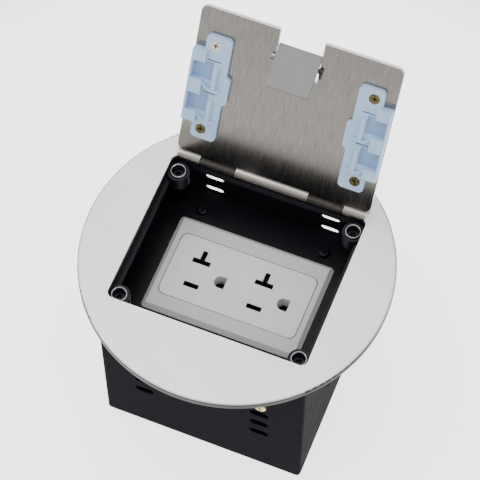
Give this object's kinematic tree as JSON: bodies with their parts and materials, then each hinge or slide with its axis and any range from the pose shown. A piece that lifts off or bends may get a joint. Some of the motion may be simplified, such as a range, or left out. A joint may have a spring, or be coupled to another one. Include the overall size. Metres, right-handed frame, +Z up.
{
  "type": "floor socket box",
  "caption": "Round floor socket box with a hinged lid, a folding cable flap and a recessed duplex receptacle in a deep steel back box.",
  "frame": {"origin": "centre of the back box's outer bottom face", "axes": "+X along the lid hinge, +Y from the front of the box to the hinge, +Z up out of the floor"},
  "size_m": [0.141, 0.1483, 0.1772],
  "materials": {
    "box_paint": "charcoal powder coat on sheet steel",
    "tray_paint": "semi-gloss black paint on sheet steel",
    "flange_steel": "light satin stainless steel",
    "lid_steel": "brushed stainless steel",
    "flap_steel": "flat grey paint",
    "gasket_rubber": "soft black sealing foam",
    "frame_plastic": "dark moulded plastic",
    "bright_plating": "bright nickel plating",
    "black_steel": "black oxide on steel",
    "plate_plastic": "light grey textured plastic",
    "device_plastic": "off-white moulded plastic",
    "housing_plastic": "dark grey moulded plastic",
    "zinc_steel": "zinc plated steel",
    "contact_brass": "plain copper alloy strip",
    "screw_brass": "plain brass",
    "green_steel": "green dyed steel",
    "clip_plastic": "light blue moulded plastic"
  },
  "bodies": {
    "box": {"back_box": "box_paint", "trim_flange": "flange_steel", "flange_gasket": "gasket_rubber", "inner_frame": "frame_plastic", "corner_sleeves": "bright_plating", "corner_screws": "black_steel", "tray_nuts": "black_steel", "socket_tray": "tray_paint", "tray_brackets": "box_paint", "tray_screws": "black_steel", "cover_plate": "plate_plastic", "receptacle_face": "device_plastic", "receptacle_housing": "housing_plastic", "mounting_yoke": "zinc_steel", "device_screws": "zinc_steel", "housing_screws": "zinc_steel", "line_contacts": "contact_brass", "neutral_contacts": "contact_brass", "ground_contacts": "contact_brass", "line_terminal_screws": "screw_brass", "neutral_terminal_screws": "zinc_steel", "ground_terminal_screw": "green_steel", "earth_screw": "screw_brass", "earth_nut": "screw_brass", "hinge_pin": "zinc_steel"},
    "lid": {"lid_plate": "lid_steel", "flap_pin": "zinc_steel", "lid_clip_left": "clip_plastic", "lid_clip_right": "clip_plastic", "lid_clip_screws": "zinc_steel"},
    "flap": {"cable_flap": "flap_steel"},
    "shutter_left": {"tamper_shutter_left": "housing_plastic"},
    "shutter_right": {"tamper_shutter_right": "housing_plastic"}
  },
  "joints": [
    {"name": "lid_hinge", "type": "hinge", "parent": "box", "child": "lid", "pos_m": [0, 0.0414, 0.1061], "axis": [1, 0, 0], "range_deg": [0, 116]},
    {"name": "flap_pivot", "type": "hinge", "parent": "lid", "child": "flap", "pos_m": [0, 0.06972, 0.16538], "axis": [1, 0, 0], "range_deg": [-141, 39]},
    {"name": "shutter_left_slide", "type": "slide", "parent": "box", "child": "shutter_left", "axis": [0, 1, 0], "range_m": [0, 0.0026], "stiffness_N_per_m": 40, "springref_m": -0.0015},
    {"name": "shutter_right_slide", "type": "slide", "parent": "box", "child": "shutter_right", "axis": [0, 1, 0], "range_m": [0, 0.0026], "stiffness_N_per_m": 40, "springref_m": -0.0015}
  ]
}
